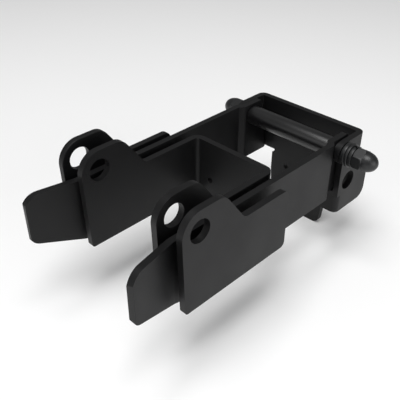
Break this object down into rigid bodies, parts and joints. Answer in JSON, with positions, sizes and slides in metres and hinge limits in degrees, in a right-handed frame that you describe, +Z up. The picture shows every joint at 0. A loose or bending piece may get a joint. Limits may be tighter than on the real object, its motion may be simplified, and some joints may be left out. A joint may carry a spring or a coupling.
{
  "type": "quick coupler",
  "caption": "Plate quick coupler: hinged double-walled arms with pin ears and flared guides, on a bent rear bracket with a cross tube, a side lug and a tongue plate.",
  "frame": {"origin": "middle of the rear bracket's flat rear face, half way up its web", "axes": "+Y points back, out of the rear face; the arms reach forward along -Y; +Z is up; +X is the side with the lug"},
  "size_m": [0.1515, 0.2552, 0.1247],
  "materials": {
    "black_plate": "satin black powder coat on cut and bent steel plate",
    "black_tube": "satin black powder coat on drawn tube, smoother than the plates",
    "black_hardware": "semi-gloss black plated nuts and washers",
    "zinc_stud": "zinc plated"
  },
  "bodies": {
    "bracket": {"rear_bracket": "black_plate", "tongue_plate": "black_plate", "pivot_stud": "zinc_stud", "hinge_collar": "black_hardware", "flat_washer": "black_hardware", "lock_washer": "black_hardware", "domed_nut_right": "black_hardware", "domed_nut_left": "black_hardware"},
    "arms": {"inner_bracket": "black_plate", "middle_plate_right": "black_plate", "middle_plate_left": "black_plate", "outer_plate_right": "black_plate", "outer_plate_left": "black_plate", "inner_spacer_right": "black_plate", "inner_spacer_left": "black_plate", "outer_spacer_right": "black_plate", "outer_spacer_left": "black_plate", "pivot_tube": "black_tube", "pivot_bush_right": "black_hardware", "pivot_bush_left": "black_hardware"}
  },
  "joints": [
    {"name": "arm_hinge", "type": "hinge", "parent": "bracket", "child": "arms", "pos_m": [0, -0.0268, 0.015], "axis": [-1, 0, 0], "range_deg": [0, 90]}
  ]
}
